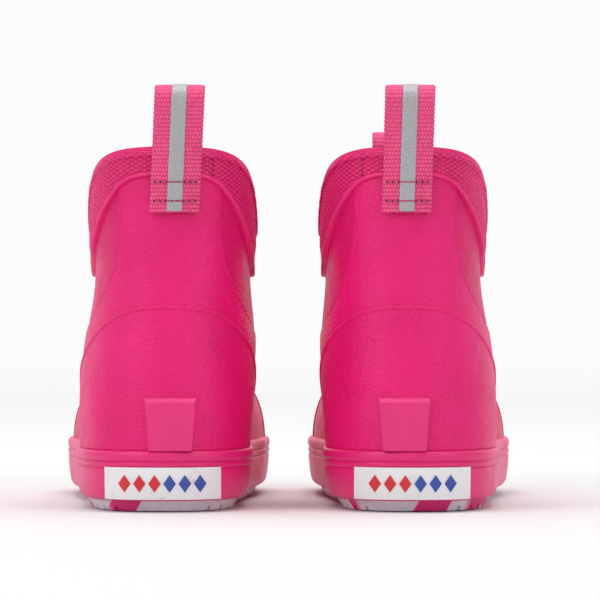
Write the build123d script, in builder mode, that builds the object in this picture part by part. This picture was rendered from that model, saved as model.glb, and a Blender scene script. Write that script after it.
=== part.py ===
"""A pair of children's slip-on ankle deck boots, millimetres, +Z up.

The toes point to +Y and the origin lies on the floor, midway between the boots. The right boot is
modelled with the middle of its heel at x = 0, lateral side to +X, then moved to its place, and the
left boot is its mirror image.

The upper is a bent tube: its cross-sections lie on planes that fan from the level top of the shaft,
through the heel, to upright planes at the toe. Every layer, from the lining to the sole's sidewall,
is the space between two such tubes, one grown a little more than the other.
"""

import os
from math import cos, pi, sin

from build123d import *

# ---- Overall sizes ----
boot_length = 222.0  # sidewall, heel to toe
heel_half_width = 31.2  # upper, at the top of the sidewall
ball_half_lateral = 41.0
ball_half_medial = 36.0
waist_half_width = 31.5
heel_spacing = 92.2  # between the two heels' middles
shaft_half_width = 29.3
shaft_depth = 88.0  # front to back
shaft_offset = -2.4  # the shaft stands towards the other boot
collar_back_height = 134.0
collar_side_height = 105.0
collar_front_height = 120.0
instep_height = 80.0
toe_height = 47.0

# ---- Layers of the upper ----
upper_wall = 1.8
lining_wall = 2.2
panel_thickness = 1.6  # textured side panels and collar
counter_thickness = 0.8
back_panel_thickness = 0.5
toe_cap_thickness = 0.6
stiffener_thickness = 0.8
rim_height = 2.2
rim_overhang = 0.3
hidden_clearance = 0.05

# ---- Sole ----
outsole_thickness = 5.0
outsole_inset = 0.8
midsole_top = 9.0
board_thickness = 1.5
footbed_thickness = 4.5
footbed_clearance = 0.9
footbed_toe_gap = 5.8  # from the upper's outside, so that the heel end can be lifted
sidewall_bottom = 3.8
sidewall_top = 22.5
sidewall_thickness = 2.2
toe_spring = 3.0
tread_pitch = 9.0
tread_groove_width = 1.6
tread_depth = 1.6
tread_angle = 24.0

# ---- Heel trim ----
label_width = 43.0
label_bottom = 4.4
label_top = 16.4
label_thickness = 0.8
mark_thickness = 0.25
mark_width = 4.6
mark_height = 6.6
mark_pitch = 5.6
kick_top_width = 18.8
kick_bottom_width = 15.8
kick_top = 42.0
kick_bevel = 1.7
kick_depth = 2.4
kick_offset = -3.0

# ---- Pull loops ----
webbing_width = 18.5
webbing_thickness = 1.5
tape_width = 5.8
tape_thickness = 0.25
loop_rise = 23.6  # above the collar
loop_half_gap = 4.4  # at its widest
loop_gap_above_axis = 3.6
tail_length = 24.0
stitch_rows = (12.5, 19.5)  # below the collar's top
stitch_pitch = 2.3
stitch_length = 1.6
stitch_width = 0.7
stitch_proud = 0.45
stitches_in_a_row = 7
right_rear_loop_offset = -1.5  # the two boots' loops were not sewn in quite the same place
right_front_loop_offset = -4.0
left_rear_loop_offset = -5.3
left_front_loop_offset = -2.6
collar_seam_half = 15.8
collar_stitches = 4

# ---- Places that follow from the sizes ----
heel_y = -boot_length / 2 + sidewall_thickness  # back of the upper at the sidewall
toe_y = boot_length / 2 - sidewall_thickness
foot_length = toe_y - heel_y
shaft_back_y = heel_y + 4.5
shaft_front_y = shaft_back_y + shaft_depth
wall = upper_wall + lining_wall
board_top = midsole_top + board_thickness
footbed_top = board_top + hidden_clearance + footbed_thickness
virtual_bottom = -16.0  # the tubes run on below the floor and are cut at the sole
loft_top = collar_back_height + 12.0
right_x = heel_spacing / 2
reach = 2 * boot_length  # longer than the boot, for cutting blocks
outline_points = 20  # in each cross-section
sections_per_loft = 4
lofts = 6


def along(share):
    """A place along the foot: 0 at the back of the heel, 1 at the tip of the toe."""
    return heel_y + share * foot_length


class Station:
    """One cross-section of the tube, between a point on its front and one on its back."""

    def __init__(self, front, back, lateral, medial, offset=0.0, widest=0.5, round_front=2.3,
                 round_back=2.3, ahead=0.0):
        self.sizes = [*front, *back, lateral, medial, offset, widest, round_front, round_back, ahead]
        self.front, self.back = Vector(0, *front), Vector(0, *back)
        self.lateral, self.medial, self.offset = lateral, medial, offset
        self.widest, self.ahead = widest, ahead
        self.round_front, self.round_back = round_front, round_back

    def plane(self, grow):
        up = (self.front - self.back).normalized()
        middle = self.front + (self.back - self.front) * self.widest
        origin = middle + Vector(self.offset, self.ahead * grow, 0)
        return Plane(origin, x_dir=(1, 0, 0), z_dir=(0, -up.Z, up.Y))

    def outline(self, grow):
        """A rounded oval, its four quarters with their own reach and roundness."""
        length = (self.front - self.back).length
        points = []
        for k in range(outline_points):
            turn = 2 * pi * k / outline_points
            across, along_plane = cos(turn), sin(turn)
            power = self.round_front if along_plane >= 0 else self.round_back
            half = self.lateral if across >= 0 else self.medial
            share = self.widest if along_plane >= 0 else 1 - self.widest
            x = (half + grow) * abs(across) ** (2 / power) * (1 if across >= 0 else -1)
            y = (share * length + grow) * abs(along_plane) ** (2 / power)
            points.append(Vector(x, y if along_plane >= 0 else -y))
        shares = [k / outline_points for k in range(outline_points + 1)]
        return Edge.make_spline(points, periodic=True, parameters=shares)


drawn_stations = [
    Station((shaft_front_y - 1, loft_top), (shaft_back_y, loft_top),
            shaft_half_width, shaft_half_width, shaft_offset),
    Station((shaft_front_y, collar_front_height), (shaft_back_y, collar_back_height - 10),
            shaft_half_width, shaft_half_width, shaft_offset),
    Station((shaft_front_y + 3, collar_side_height), (shaft_back_y, collar_side_height - 2),
            shaft_half_width + 0.9, shaft_half_width + 0.9, shaft_offset),
    Station((shaft_front_y + 8, instep_height + 11), (shaft_back_y - 1.2, instep_height),
            shaft_half_width, shaft_half_width + 0.3, shaft_offset + 0.2),
    Station((shaft_front_y + 17, instep_height + 2), (heel_y + 0.6, instep_height - 21),
            heel_half_width - 0.6, heel_half_width + 0.6, -1.2, 0.52),
    Station((shaft_front_y + 29, instep_height - 5), (heel_y - 0.8, 36),
            heel_half_width + 0.8, heel_half_width + 1.6, -0.3, 0.58),
    Station((shaft_front_y + 40, instep_height - 10), (heel_y, 16),
            heel_half_width + 0.8, heel_half_width + 0.8, 0, 0.64),
    Station((shaft_front_y + 50, instep_height - 14), (heel_y + 12, -8),
            heel_half_width + 0.8, heel_half_width - 0.2, 0.4, 0.6, 2.3, 2.5),
    Station((shaft_front_y + 60, instep_height - 17.5), (along(0.3), virtual_bottom),
            waist_half_width + 1.2, waist_half_width - 1, 1, 0.55, 2.3, 2.6),
    Station((along(0.765), instep_height - 20.5), (along(0.52), virtual_bottom),
            ball_half_lateral - 2.6, ball_half_medial - 1, 0.8, 0.52, 2.3, 2.6),
    Station((along(0.82), toe_height + 8.5), (along(0.74), virtual_bottom),
            ball_half_lateral - 0.5, ball_half_medial + 0.4, 0.5, 0.5, 2.3, 2.6, 0.1),
    Station((along(0.875), toe_height + 3.2), (along(0.85), virtual_bottom),
            ball_half_lateral - 5.6, ball_half_medial - 2.2, 0.4, 0.5, 2.4, 2.6, 0.25),
    Station((along(0.925), toe_height - 2.8), (along(0.92), virtual_bottom),
            ball_half_lateral - 12.6, ball_half_medial - 7.6, 0, 0.47, 2.4, 2.6, 0.5),
    Station((along(0.963), toe_height - 10.5), (along(0.963), virtual_bottom),
            ball_half_lateral - 20.5, ball_half_medial - 14.5, -0.4, 0.42, 2.3, 2.6, 0.75),
    Station((along(0.986), toe_height - 19), (along(0.986), virtual_bottom + 2),
            ball_half_lateral - 27, ball_half_medial - 21, -0.8, 0.38, 2.2, 2.6, 0.92),
    Station((along(1.0), toe_height - 28), (along(1.0), virtual_bottom + 5),
            ball_half_lateral - 35, ball_half_medial - 30, -1.2, 0.36, 2, 2.4, 1.0),
]

def between(places, values, place):
    """A smooth curve through the values, read at one place."""
    last = len(places) - 1
    steps = [b - a for a, b in zip(places, places[1:])]
    rises = [(b - a) / step for a, b, step in zip(values, values[1:], steps)]
    slopes = [rises[0]]
    for i in range(1, last):
        weight = steps[i - 1] + steps[i]
        slopes.append((rises[i - 1] * steps[i] + rises[i] * steps[i - 1]) / weight)
    slopes.append(rises[-1])
    i = max(k for k in range(last) if places[k] <= place + 1e-9)
    t = (place - places[i]) / steps[i]
    ahead_part = values[i + 1] * t * t * (3 - 2 * t) + slopes[i + 1] * steps[i] * t * t * (t - 1)
    return values[i] * (1 + 2 * t) * (1 - t) ** 2 + slopes[i] * steps[i] * t * (1 - t) ** 2 + ahead_part


def evenly_spaced(drawn, count):
    """The same tube with its cross-sections at even steps, which lofts without ripples."""
    places = [0.0]
    for a, b in zip(drawn, drawn[1:]):
        step = ((a.front - b.front).length + (a.back - b.back).length) / 2
        places.append(places[-1] + max(step, 4.0) ** 0.7)
    result = []
    for k in range(count):
        place = places[-1] * k / (count - 1)
        columns = zip(*[station.sizes for station in drawn])
        v = [between(places, column_values, place) for column_values in columns]
        result.append(Station(v[0:2], v[2:4], *v[4:]))
    return result


stations = evenly_spaced(drawn_stations, lofts * (sections_per_loft - 1) + 1)
tubes = {}


def tube(grow):
    """The whole upper as one closed tube, grown by a thickness all round."""
    key = round(grow, 3)
    if key not in tubes:
        with BuildPart() as body:
            for k in range(lofts):
                first = k * (sections_per_loft - 1)
                for station in stations[first:first + sections_per_loft]:
                    with BuildSketch(station.plane(grow)):
                        with BuildLine():
                            add(station.outline(grow))
                        make_face()
                loft()
        tubes[key] = body.part
    return tubes[key]


def layer(inside, outside, *regions):
    """The space between two tubes, kept where every one of the regions is."""
    with BuildPart() as skin:
        add(tube(outside))
        for region in regions:
            add(region, mode=Mode.INTERSECT)
        add(tube(inside), mode=Mode.SUBTRACT)
    return skin.part


def filled(grow, *regions):
    """A tube's solid inside, kept where every one of the regions is."""
    with BuildPart() as body:
        add(tube(grow))
        for region in regions:
            add(region, mode=Mode.INTERSECT)
    return body.part


def slab(low, high):
    """Everything between two heights."""
    with BuildPart() as block:
        with BuildSketch(Plane.XY.offset(low)):
            Rectangle(reach, reach)
        extrude(amount=high - low)
    return block.part


def column(x_low, x_high, y_low, y_high, z_low, z_high):
    """A plain block between six limits, for keeping part of a layer."""
    with BuildPart() as block:
        with BuildSketch(Plane.XY.offset(z_low)):
            with Locations(((x_low + x_high) / 2, (y_low + y_high) / 2)):
                Rectangle(x_high - x_low, y_high - y_low)
        extrude(amount=z_high - z_low)
    return block.part


def beside(points, far_corners):
    """Everything, seen from the side, between a smooth line and far corners that close it."""
    with BuildPart() as block:
        with BuildSketch(Plane.YZ):
            with BuildLine():
                Spline(*points)
                Polyline(points[-1], *far_corners, points[0])
            make_face()
        extrude(amount=reach / 2, both=True)
    return block.part


def below(points):
    """Everything under a line that runs from the back to the front."""
    corners = [(reach, points[-1][1]), (reach, -reach), (-reach, -reach), (-reach, points[0][1])]
    return beside(points, corners)


def above(points):
    corners = [(reach, points[-1][1]), (reach, reach), (-reach, reach), (-reach, points[0][1])]
    return beside(points, corners)


def behind(points):
    """Everything behind a line that ends below the sidewall's top."""
    return beside(points, [(points[-1][0], -reach), (-reach, -reach), (-reach, points[0][1])])


def in_front_of(points):
    corners = [(points[-1][0], -reach), (reach, -reach), (reach, reach), (-reach, reach)]
    return beside(points, [*corners, (-reach, points[0][1])])


def lowered(points, drop):
    return [(y, z - drop) for y, z in points]


# ---- Lines seen from the side ----
far_back, ahead_of_shaft = shaft_back_y - 30, shaft_front_y + 60
dip_y = shaft_back_y + 0.66 * shaft_depth
topline = [
    (far_back, collar_back_height + 0.4),
    (shaft_back_y, collar_back_height),
    (shaft_back_y + 10, collar_back_height - 2.2),
    (shaft_back_y + 23, collar_back_height - 7.4),
    (shaft_back_y + 38, collar_side_height + 11.5),
    (dip_y - 8, collar_side_height + 2),
    (dip_y, collar_side_height),
    (shaft_front_y - 18, collar_side_height + 4),
    (shaft_front_y - 7, collar_front_height - 3),
    (shaft_front_y + 1, collar_front_height),
    (ahead_of_shaft, collar_front_height + 0.5),
]
panel_line = [
    (far_back, collar_back_height - 10),
    (shaft_back_y, collar_back_height - 10.2),
    (shaft_back_y + 4, collar_back_height - 12),
    (shaft_back_y + 9.5, collar_back_height - 17.5),
    (shaft_back_y + 18, collar_side_height + 2.5),
    (shaft_back_y + 29, collar_side_height - 8.5),
    (dip_y - 14, collar_side_height - 15.5),
    (dip_y - 2, collar_side_height - 18.5),
    (dip_y + 7, collar_side_height - 15),
    (dip_y + 14, collar_side_height - 6),
    (shaft_front_y - 9, collar_front_height - 13),
    (shaft_front_y + 1, collar_front_height - 10.2),
    (ahead_of_shaft, collar_front_height - 10),
]
counter_line = [
    (far_back, instep_height - 4.8),
    (heel_y + 3, instep_height - 5),
    (heel_y + 15, instep_height - 10.8),
    (heel_y + 32, instep_height - 21),
    (heel_y + 50, instep_height - 33.5),
    (heel_y + 68, instep_height - 50),
    (heel_y + 80, instep_height - 72),
]
back_panel_line = [
    (shaft_back_y + 6.7, loft_top),
    (shaft_back_y + 6.7, collar_side_height + 8),
    (shaft_back_y + 7.2, collar_side_height - 5),
    (shaft_back_y + 12.8, instep_height + 4.5),
    (shaft_back_y + 19, instep_height - 2.2),
    (shaft_back_y + 31, instep_height - 10),
    (shaft_back_y + 45, instep_height - 14.5),
    (shaft_back_y + 60, instep_height - 20),
    (shaft_back_y + 72, instep_height - 34),
    (shaft_back_y + 76, instep_height - 50),
    (shaft_back_y + 77, instep_height - 72),
]
spring_start = along(0.72)
spring_line = [
    (spring_start, 0),
    (along(0.8), 0.12 * toe_spring),
    (along(0.9), 0.5 * toe_spring),
    (along(1.0), toe_spring),
    (along(1.05), 1.3 * toe_spring),
]

below_topline = below(topline)
below_rim = below(lowered(topline, rim_height))


# ---- Sole ----
def toe_spring_cut():
    """The air under the turned-up toe."""
    return beside(spring_line, [(spring_line[-1][0], -reach), (spring_line[0][0], -reach)])


def build_tread_grooves():
    """Rows of grooves in a chevron, following the sole up at the toe."""
    with BuildPart() as grooves:
        for k in range(int(foot_length / tread_pitch) - 2):
            y = heel_y + tread_pitch * (k + 1.5)
            rise = max(0.0, (y - spring_start) / (along(1) - spring_start)) ** 2 * toe_spring
            for side in (1, -1):
                with BuildSketch(Plane.XY):
                    with Locations(Location((side * 16.5, y, 0), (0, 0, -side * tread_angle))):
                        Rectangle(22, tread_groove_width)
                extrude(amount=tread_depth + rise)
    return grooves.part


def build_outsole():
    with BuildPart() as outsole:
        add(filled(-outsole_inset, slab(0, outsole_thickness)))
        add(toe_spring_cut(), mode=Mode.SUBTRACT)
        add(build_tread_grooves(), mode=Mode.SUBTRACT)
    return outsole.part


sidewall = layer(0, sidewall_thickness, slab(sidewall_bottom, sidewall_top))
midsole = filled(0, slab(outsole_thickness, midsole_top))
insole_board = filled(-wall - hidden_clearance, slab(midsole_top, board_top))
footbed = filled(-wall - footbed_clearance, slab(board_top + hidden_clearance, footbed_top),
                 column(-reach, reach, -reach, along(1) - footbed_toe_gap, 0, reach))

# ---- Upper ----
above_midsole = slab(midsole_top, loft_top - 1)
stiffener_region = [
    slab(midsole_top, sidewall_top + 16),
    column(-reach, reach, heel_y - 9, along(0.2), 0, instep_height),
]


def build_upper():
    with BuildPart() as upper:
        add(layer(-upper_wall, 0, above_midsole, below_rim))
        add(layer(-upper_wall - 1, stiffener_thickness - upper_wall, *stiffener_region), mode=Mode.SUBTRACT)
    return upper.part


lining = layer(-wall, -upper_wall, above_midsole, below_rim)
heel_stiffener = layer(-upper_wall, stiffener_thickness - upper_wall, *stiffener_region)
above_sidewall = slab(sidewall_top, loft_top)
heel_counter = layer(0, counter_thickness, behind(counter_line), above_sidewall)


back_panel = layer(0, back_panel_thickness, behind(back_panel_line), in_front_of(counter_line),
                   below(panel_line), above_sidewall)


def build_toe_cap():
    with BuildPart() as front_of_arc:
        with BuildSketch(Plane.XY):
            with Locations((0, reach / 2)):
                Rectangle(reach, reach)
            with Locations((0, along(0.56))):
                Circle(along(0.84) - along(0.56), mode=Mode.SUBTRACT)
        extrude(amount=toe_height * 2)
    ahead_of_ball = column(-reach, reach, along(0.66), reach, 0, 2 * toe_height)
    return layer(0, toe_cap_thickness, above_sidewall, front_of_arc.part, ahead_of_ball)


topline_rim = layer(-wall - rim_overhang, panel_thickness + rim_overhang,
                    below(lowered(topline, -0.4)), above(lowered(topline, rim_height)))


# ---- Textured collar and side panels ----
def build_collar_pieces():
    band = layer(0, panel_thickness, below_rim, above(panel_line))
    low_x, high_x = shaft_offset - collar_seam_half, shaft_offset + collar_seam_half
    middle_y = (shaft_back_y + shaft_front_y) / 2
    back = column(low_x, high_x, -reach, middle_y, 0, loft_top)
    front = column(low_x, high_x, middle_y, reach, 0, loft_top)
    lateral_half = column(shaft_offset, reach, -reach, reach, 0, loft_top)
    pieces = {}
    for name, region in (("collar_back", back), ("collar_front", front)):
        with BuildPart() as piece:
            add(band)
            add(region, mode=Mode.INTERSECT)
        pieces[name] = piece.part
    for name, mode in (("gore_lateral", Mode.INTERSECT), ("gore_medial", Mode.SUBTRACT)):
        with BuildPart() as piece:
            add(band)
            add(back, mode=Mode.SUBTRACT)
            add(front, mode=Mode.SUBTRACT)
            add(lateral_half, mode=mode)
        pieces[name] = piece.part
    return pieces


# ---- Heel trim ----
def build_label():
    window = column(-label_width / 2, label_width / 2, -reach, along(0.2), label_bottom, label_top)
    return layer(sidewall_thickness, sidewall_thickness + label_thickness, window)


def build_marks(side):
    """Three raised diamonds on one half of the heel label."""
    middle_z = (label_bottom + label_top) / 2
    with BuildPart() as diamonds:
        with BuildSketch(Plane.XZ):
            for k in range(3):
                x, half_w, half_h = side * mark_pitch * (k + 0.5), mark_width / 2, mark_height / 2
                with BuildLine():
                    Polyline((x - half_w, middle_z), (x, middle_z + half_h), (x + half_w, middle_z),
                             (x, middle_z - half_h), close=True)
                make_face()
        extrude(amount=reach)
    face = sidewall_thickness + label_thickness
    return layer(face, face + mark_thickness, diamonds.part)


def build_kick_tab():
    face_y = heel_y - counter_thickness - kick_depth
    half_bottom, half_top = kick_bottom_width / 2, kick_top_width / 2
    corners = [
        (kick_offset - half_bottom, sidewall_top),
        (kick_offset + half_bottom, sidewall_top),
        (kick_offset + half_top, kick_top),
        (kick_offset - half_top, kick_top),
    ]
    with BuildPart() as tab:
        with BuildSketch(Plane.XZ.offset(-face_y)):
            with BuildLine():
                Polyline(*corners, close=True)
            make_face()
        extrude(amount=-20)
        top_edge = tab.faces().sort_by(Axis.Y)[0].edges().sort_by(Axis.Z)[-1]
        chamfer(top_edge, kick_bevel)
        add(tube(counter_thickness), mode=Mode.SUBTRACT)
        # The tube passes right through the block, so only the piece outside it is the tab.
    return tab.part.solids().sort_by(Axis.Y)[0]


# ---- Pull loops ----
leg_inner = panel_thickness + rim_overhang + hidden_clearance
leg_outer = leg_inner + webbing_thickness
inside_outer = -wall - rim_overhang - hidden_clearance
inside_inner = inside_outer - webbing_thickness
mid_offset = (leg_inner + inside_outer) / 2  # the loop's middle plane, from the shaft's outside
leg_half_gap = (leg_inner - inside_outer) / 2


class LoopPlace:
    """Where one pull loop is: which way is out of the boot, and the height of the collar there."""

    def __init__(self, wall_y, outward, x, collar_height):
        self.wall_y, self.outward, self.x, self.collar_height = wall_y, outward, x, collar_height
        self.axis_y = wall_y + outward * mid_offset
        self.axis_z = collar_height - 1.0
        self.half = (-reach, (shaft_back_y + shaft_front_y) / 2) if outward < 0 else (
            (shaft_back_y + shaft_front_y) / 2, reach)

    def window(self, half_width, low, high):
        return column(self.x - half_width, self.x + half_width, *self.half, low, high)


def loop_places(rear_offset, front_offset):
    return (LoopPlace(shaft_back_y, -1, rear_offset, collar_back_height),
            LoopPlace(shaft_front_y, 1, front_offset, collar_front_height))


def loop_path(place, shift):
    """The webbing's line, up one leg and down the other, moved outwards by a shift."""
    start_z = place.axis_z + loop_gap_above_axis
    top_z = place.collar_height + loop_rise - webbing_thickness / 2 + shift
    leg = leg_half_gap + webbing_thickness / 2 + shift
    belly = loop_half_gap + webbing_thickness / 2 + shift
    shoulder_z = top_z - belly
    y = place.axis_y
    Spline((y - leg, start_z), (y - belly, shoulder_z), tangents=[(0, 1), (0, 1)])
    ThreePointArc((y - belly, shoulder_z), (y, top_z), (y + belly, shoulder_z))
    Spline((y + belly, shoulder_z), (y + leg, start_z), tangents=[(0, -1), (0, -1)])


def build_loop(place, width, thickness, shift):
    with BuildPart() as loop:
        with BuildSketch(Plane.YZ.offset(place.x - width / 2)):
            with BuildLine():
                loop_path(place, shift)
            trace(line_width=thickness)
        extrude(amount=width)
    return loop.part


def build_loop_tape(place):
    """Reflective tape down the middle of the webbing's outer face."""
    with BuildPart() as tape:
        add(build_loop(place, tape_width, 2 * tape_thickness, webbing_thickness / 2))
        add(build_loop(place, webbing_width, webbing_thickness, 0), mode=Mode.SUBTRACT)
    return tape.part


def build_tails(place):
    """The sewn ends of the webbing, one outside the shaft and one inside it."""
    top = place.axis_z - 0.2
    window = place.window(webbing_width / 2, place.collar_height - tail_length, top)
    with BuildPart() as tails:
        add(layer(leg_inner, leg_outer, window))
        add(layer(inside_inner, inside_outer, window))
    return tails.part


def stitch_windows(place, margin):
    """One small window for each stitch of the two rows, wider by a margin."""
    windows = []
    first = -(stitches_in_a_row - 1) / 2 * stitch_pitch
    for row in stitch_rows:
        z = place.collar_height - row
        for k in range(stitches_in_a_row):
            x = place.x + first + k * stitch_pitch
            windows.append(column(x - stitch_length / 2 - margin, x + stitch_length / 2 + margin,
                                  *place.half, z - stitch_width / 2 - margin, z + stitch_width / 2 + margin))
    return windows


def build_stitching(places):
    with BuildPart() as stitches:
        for place in places:
            bottom, top = place.collar_height - tail_length, place.axis_z - 0.2
            rows = layer(leg_outer, leg_outer + stitch_proud, place.window(webbing_width / 2, bottom, top))
            with BuildPart(mode=Mode.PRIVATE) as windows:
                for window in stitch_windows(place, 0):
                    add(window)
            with BuildPart(mode=Mode.PRIVATE) as row_stitches:
                add(rows)
                add(windows.part, mode=Mode.INTERSECT)
            add(row_stitches.part)
    return stitches.part


def build_tail_tapes(places):
    """The reflective tape on the sewn ends, in lengths that stop short of each row of stitches."""
    with BuildPart() as tapes:
        for place in places:
            bottom, top = place.collar_height - tail_length, place.axis_z - 0.2
            cuts = sorted(place.collar_height - row for row in stitch_rows)
            margin = stitch_width / 2 + 0.1
            spans = zip([bottom] + [z + margin for z in cuts], [z - margin for z in cuts] + [top])
            for low, high in spans:
                add(layer(leg_outer, leg_outer + tape_thickness, place.window(tape_width / 2, low, high)))
    return tapes.part


def build_collar_stitches():
    """The bar of stitches down the collar's inner seam."""
    x = shaft_offset - collar_seam_half
    with BuildPart() as stitches:
        for k in range(collar_stitches):
            z = collar_back_height - 4.2 - k * stitch_pitch
            window = column(x - 0.6, x + 0.6, -reach, (shaft_back_y + shaft_front_y) / 2,
                            z - stitch_width / 2, z + stitch_width / 2)
            add(layer(panel_thickness, panel_thickness + stitch_proud, window))
    return stitches.part


def build_loop_pieces(rear, front):
    """Both pull loops of one boot, still drawn as for the right boot."""
    return {
        "rear_loop": build_loop(rear, webbing_width, webbing_thickness, 0),
        "rear_loop_tape": build_loop_tape(rear),
        "rear_loop_tails": build_tails(rear),
        "front_loop": build_loop(front, webbing_width, webbing_thickness, 0),
        "front_loop_tape": build_loop_tape(front),
        "front_loop_tails": build_tails(front),
        "tail_tapes": build_tail_tapes((rear, front)),
        "loop_stitching": build_stitching((rear, front)),
    }


def build_shared_pieces():
    """The pieces that are the same on both boots, drawn as for the right boot."""
    pieces = {
        "outsole": build_outsole(),
        "sidewall": sidewall,
        "midsole": midsole,
        "insole_board": insole_board,
        "footbed": footbed,
        "upper": build_upper(),
        "lining": lining,
        "heel_stiffener": heel_stiffener,
        "heel_counter": heel_counter,
        "back_panel": back_panel,
        "toe_cap": build_toe_cap(),
        "topline_rim": topline_rim,
        "heel_label": build_label(),
        "label_mark_red": build_marks(-1),
        "label_mark_blue": build_marks(1),
        "kick_tab": build_kick_tab(),
        "collar_stitching": build_collar_stitches(),
    }
    pieces.update(build_collar_pieces())
    return pieces


# A mirrored label would swap its colours, so the left boot takes each colour from the other half.
left_names = {"label_mark_red": "label_mark_blue", "label_mark_blue": "label_mark_red"}


def write(shape, name):
    shape.label = name
    export_step(shape, f"parts/{name}.step")


def in_place(piece):
    return Pos(right_x, 0, 0) * Compound(piece.solids())


shared_pieces = build_shared_pieces()
right_loops = build_loop_pieces(*loop_places(right_rear_loop_offset, right_front_loop_offset))
left_loops = build_loop_pieces(*loop_places(left_rear_loop_offset, left_front_loop_offset))
os.makedirs("parts", exist_ok=True)
for piece_name, piece in {**shared_pieces, **right_loops}.items():
    write(in_place(piece), f"right_{piece_name}")
for piece_name, piece in {**shared_pieces, **left_loops}.items():
    left_piece = mirror(in_place(piece), about=Plane.YZ)
    write(left_piece, f"left_{left_names.get(piece_name, piece_name)}")
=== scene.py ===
import math

import bmesh
import bpy
import numpy as np
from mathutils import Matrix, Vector
from mathutils.bvhtree import BVHTree


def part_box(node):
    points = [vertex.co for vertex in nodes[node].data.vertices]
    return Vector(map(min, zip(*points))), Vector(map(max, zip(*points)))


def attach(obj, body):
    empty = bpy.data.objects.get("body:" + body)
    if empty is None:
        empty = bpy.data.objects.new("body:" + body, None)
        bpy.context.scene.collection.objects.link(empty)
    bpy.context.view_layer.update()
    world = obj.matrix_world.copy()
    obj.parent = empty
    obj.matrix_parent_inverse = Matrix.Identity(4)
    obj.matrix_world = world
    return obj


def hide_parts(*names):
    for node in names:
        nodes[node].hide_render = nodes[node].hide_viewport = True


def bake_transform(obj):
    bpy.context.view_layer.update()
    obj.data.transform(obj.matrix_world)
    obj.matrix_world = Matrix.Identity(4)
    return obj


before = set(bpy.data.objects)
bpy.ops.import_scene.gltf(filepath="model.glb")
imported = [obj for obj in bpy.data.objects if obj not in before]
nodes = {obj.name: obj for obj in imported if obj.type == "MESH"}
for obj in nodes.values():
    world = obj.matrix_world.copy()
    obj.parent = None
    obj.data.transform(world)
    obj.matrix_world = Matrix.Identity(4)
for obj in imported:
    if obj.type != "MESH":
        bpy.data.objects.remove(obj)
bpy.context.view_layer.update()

mm = 0.001
side_sign = {"right": 1, "left": -1}
sides = tuple(side_sign)
bpy.ops.object.select_all(action="DESELECT")

# Places read from the frame, on the right boot. The left boot is its mirror image.
label_low, label_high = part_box("right_heel_label")
heel_x = (label_low.x + label_high.x) / 2
wall_low, wall_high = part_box("right_sidewall")
rim_low, rim_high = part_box("right_topline_rim")
shaft_x = (rim_low.x + rim_high.x) / 2
shaft_y = (rim_low.y + rim_high.y) / 2


# ---------------------------------------------------------------- helpers

def tree_of(*names):
    """A search tree over some CAD nodes, for laying new pieces on their surfaces."""
    vertices, faces = [], []
    for name in names:
        mesh = nodes[name].data
        start = len(vertices)
        vertices += [v.co.copy() for v in mesh.vertices]
        faces += [[start + i for i in p.vertices] for p in mesh.polygons]
    return BVHTree.FromPolygons(vertices, faces)


def add_mesh(name, vertices, faces, relief=None):
    mesh = bpy.data.meshes.new(name)
    mesh.from_pydata([tuple(v) for v in vertices], [], faces)
    mesh.validate()
    obj = bpy.data.objects.new(name, mesh)
    bpy.context.scene.collection.objects.link(obj)
    outward(obj)
    for polygon in mesh.polygons:
        polygon.use_smooth = True
    if relief:
        mesh.attributes.new("relief", "FLOAT", "POINT").data.foreach_set("value", relief)
    return obj


def outward(obj):
    work = bmesh.new()
    work.from_mesh(obj.data)
    bmesh.ops.recalc_face_normals(work, faces=work.faces)
    work.to_mesh(obj.data)
    work.free()


def mirrored(obj, name):
    """The left boot's copy of a piece, with its own mesh."""
    copy = obj.copy()
    copy.data = obj.data.copy()
    copy.name = copy.data.name = name
    bpy.context.scene.collection.objects.link(copy)
    for vertex in copy.data.vertices:
        vertex.co.x = -vertex.co.x
    copy.data.flip_normals()
    return copy


def dress(obj, material):
    obj.data.materials.clear()
    obj.data.materials.append(material)
    return obj


def place_pair(piece, name, material, covered=()):
    """Dresses a right-hand piece and its mirror image, and puts each one on its boot."""
    for side in sides:
        obj = piece if side == "right" else mirrored(piece, f"left_{name}")
        dress(obj, material)
        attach(obj, f"{side}_boot")
        if covered:
            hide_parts(*[f"{side}_{node}" for node in covered])


def select_only(*objects):
    bpy.ops.object.select_all(action="DESELECT")
    for obj in objects:
        obj.select_set(True)
    bpy.context.view_layer.objects.active = objects[0]


def ball(place, radius, scale, segments=12, rotation=(0, 0, 0)):
    bpy.ops.mesh.primitive_uv_sphere_add(segments=segments, ring_count=8, radius=radius * mm,
                                         location=place, scale=scale, rotation=rotation)
    return bpy.context.object


def joined(parts, name):
    """Makes one smooth piece of several small ones."""
    select_only(*parts)
    bpy.ops.object.join()
    obj = bpy.context.object
    bpy.ops.object.transform_apply(location=True, rotation=True, scale=True)
    obj.name = obj.data.name = name
    bpy.ops.object.shade_smooth()
    return obj


def smooth_step(value, low, high):
    t = min(1.0, max(0.0, (value - low) / (high - low)))
    return t * t * (3 - 2 * t)


def ring_faces(rows, columns, closed_rows=True, closed_columns=True):
    faces = []
    for r in range(rows if closed_rows else rows - 1):
        for c in range(columns if closed_columns else columns - 1):
            r2, c2 = (r + 1) % rows, (c + 1) % columns
            faces.append((r * columns + c, r * columns + c2, r2 * columns + c2, r2 * columns + c))
    return faces


# ---------------------------------------------------------------- materials

def new_material(name):
    material = bpy.data.materials.new(name)
    material.use_nodes = True
    tree = material.node_tree
    shader = tree.nodes["Principled BSDF"]
    coords = tree.nodes.new("ShaderNodeTexCoord")
    return material, tree, shader, coords


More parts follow.
